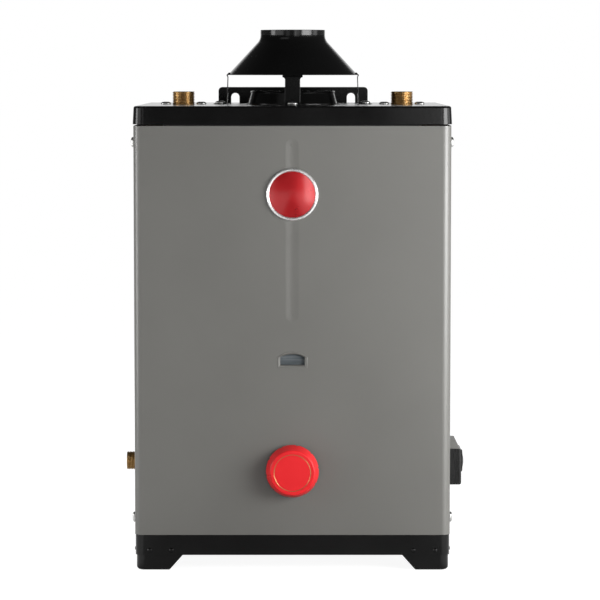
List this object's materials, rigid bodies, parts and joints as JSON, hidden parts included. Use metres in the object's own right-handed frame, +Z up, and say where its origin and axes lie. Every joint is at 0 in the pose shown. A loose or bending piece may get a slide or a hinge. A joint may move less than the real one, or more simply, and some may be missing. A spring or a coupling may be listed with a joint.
{
  "type": "gas tank water heater",
  "caption": "Square grey sheet-metal gas water heater with a small storage tank, black top and base, draft hood, brass pipe stubs, red push-and-turn knob and side igniter.",
  "frame": {"origin": "on the floor under the middle of the cabinet, on the axis of tank, flue and draft hood", "axes": "+Z up, the front with the knob faces -Y, +X to the right of someone facing the front"},
  "size_m": [0.3946, 0.405, 0.6281],
  "materials": {
    "cabinet_paint": "satin grey-taupe paint",
    "black_paint": "gloss black paint",
    "screw_steel": "plated",
    "chrome_trim": "bright",
    "red_enamel": "domed gloss red",
    "window_glass": "smoky",
    "gasket": "matt",
    "tank_steel": "mill",
    "brass": "machined, dulled",
    "tube_aluminium": "plain",
    "dip_tube_plastic": "matt",
    "insulation": "glass wool",
    "knob_red": "satin red",
    "igniter_plastic": "black",
    "ceramic": "glazed ceramic"
  },
  "bodies": {
    "cabinet": {"anode_rod": "tube_aluminium", "back_panel": "cabinet_paint", "badge_bezel": "chrome_trim", "badge_face": "red_enamel", "base_pan": "black_paint", "bracket_rivets": "black_paint", "burner_cap": "tank_steel", "burner_orifice": "brass", "burner_shelf": "tank_steel", "cold_inlet_nipple": "brass", "cover_screws": "black_paint", "dip_tube": "dip_tube_plastic", "draft_hood": "black_paint", "flue_baffle": "tank_steel", "flue_collar": "black_paint", "flue_tube": "tank_steel", "foot_front_left": "black_paint", "foot_front_right": "black_paint", "foot_rear_left": "black_paint", "foot_rear_right": "black_paint", "foot_rivets": "black_paint", "front_panel": "cabinet_paint", "gas_inlet_fitting": "brass", "gas_valve_body": "tube_aluminium", "hood_leg_front": "black_paint", "hood_leg_left": "black_paint", "hood_leg_rear": "black_paint", "hood_leg_right": "black_paint", "hot_outlet_nipple": "brass", "igniter_drip_hood": "cabinet_paint", "igniter_electrode": "ceramic", "igniter_housing": "igniter_plastic", "igniter_lead": "gasket", "igniter_piezo": "igniter_plastic", "left_side_panel": "cabinet_paint", "main_burner": "tank_steel", "manifold_tube": "tube_aluminium", "panel_screws": "screw_steel", "pilot_burner": "brass", "pilot_tube": "tube_aluminium", "plunger_spring": "tank_steel", "right_side_panel": "cabinet_paint", "sight_glass": "window_glass", "sight_glass_gasket": "gasket", "tank_bottom_head": "tank_steel", "tank_insulation": "insulation", "tank_shell": "tank_steel", "tank_top_head": "tank_steel", "thermocouple": "brass", "thermostat_bulb": "brass", "top_cover": "black_paint", "valve_rear_cover": "tube_aluminium", "valve_stand": "tank_steel", "wall_bracket": "black_paint"},
    "plunger": {"pilot_plunger": "brass"},
    "knob": {"control_knob": "knob_red", "knob_cap": "knob_red", "valve_stem": "tank_steel"},
    "cock": {"valve_cock": "brass"},
    "button": {"igniter_button": "igniter_plastic"}
  },
  "joints": [
    {"name": "knob_push", "type": "slide", "parent": "cabinet", "child": "plunger", "axis": [0, 1, 0], "range_m": [0, 0.005], "stiffness_N_per_m": 1500, "springref_m": -0.003, "deforming": ["plunger_spring"]},
    {"name": "knob_turn", "type": "hinge", "parent": "plunger", "child": "knob", "pos_m": [0, -0.18925, 0.1171], "axis": [0, -1, 0], "range_deg": [0, 270]},
    {"name": "cock_turn", "type": "hinge", "parent": "cabinet", "child": "cock", "pos_m": [0, -0.18925, 0.1171], "axis": [0, -1, 0], "range_deg": [0, 270]},
    {"name": "igniter_press", "type": "slide", "parent": "cabinet", "child": "button", "axis": [-1, 0, 0], "range_m": [0, 0.005], "stiffness_N_per_m": 1200, "springref_m": -0.003}
  ],
  "couplings": [
    {"joint": "cock_turn", "follows": "knob_turn", "ratio": 1}
  ]
}
